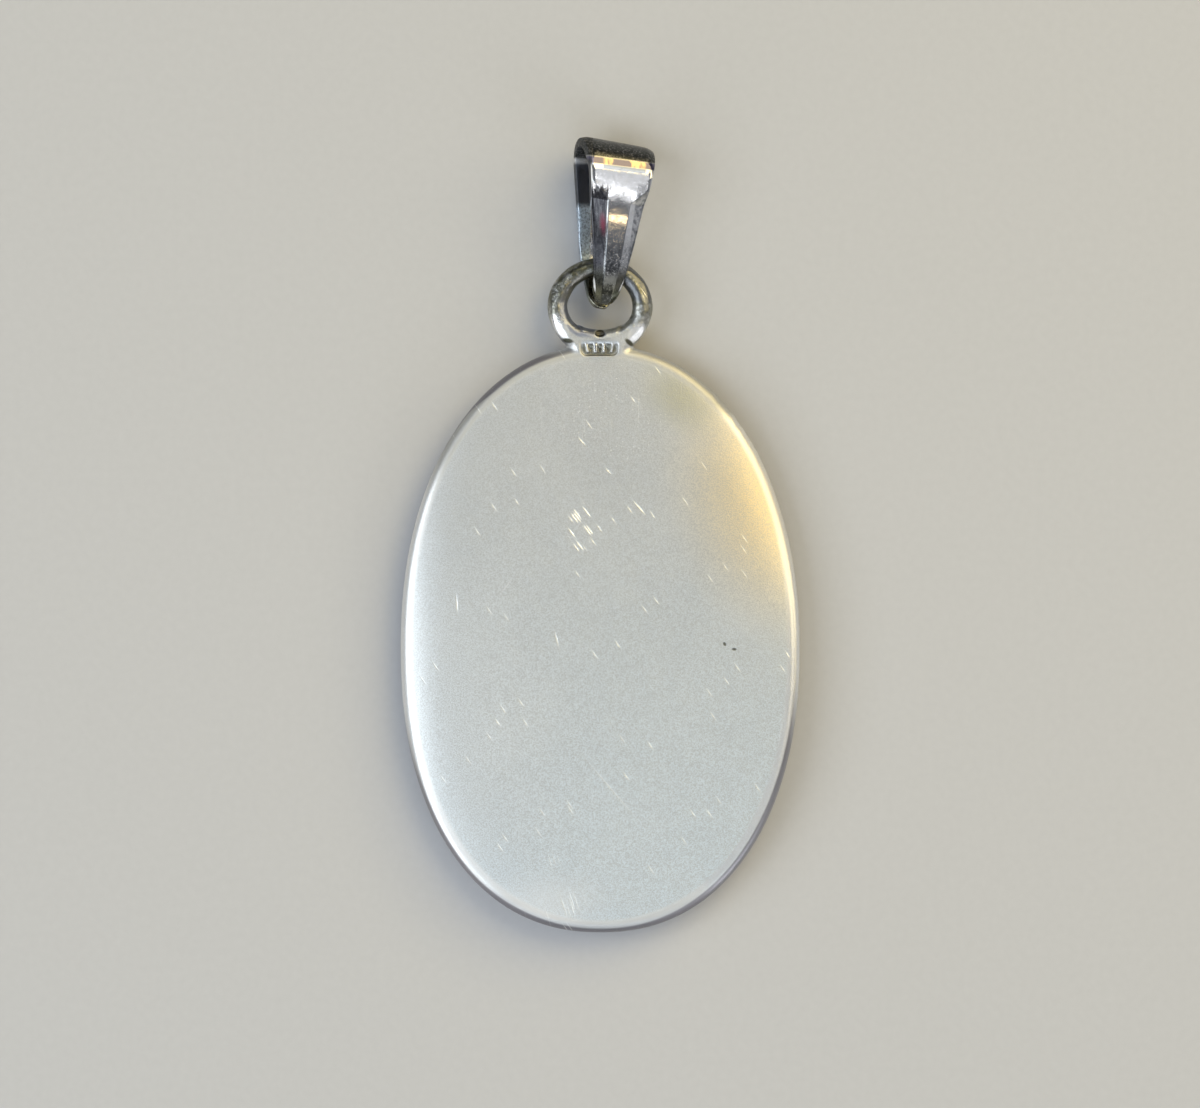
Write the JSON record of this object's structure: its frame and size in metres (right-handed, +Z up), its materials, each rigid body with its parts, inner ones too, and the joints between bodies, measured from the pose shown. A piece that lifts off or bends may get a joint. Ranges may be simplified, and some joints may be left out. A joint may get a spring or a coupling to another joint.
{
  "type": "oval silver pendant with folded bail",
  "caption": "Plain oval silver pendant lying face down: satin back, soldered hanging ring and a folded tapered bail for a chain.",
  "frame": {"origin": "middle of the oval, on the surface that the pendant lies on", "axes": "+X across the oval, +Y from the oval towards the bail, +Z up from the resting face to the plain back"},
  "size_m": [0.02, 0.0398, 0.004],
  "materials": {
    "satin_silver": "fine satin, worn smooth at the edges",
    "polished_silver": "polished, with fine scuffs"
  },
  "bodies": {
    "root": {"plate_and_ring": "satin_silver", "bail": "polished_silver"}
  },
  "joints": []
}
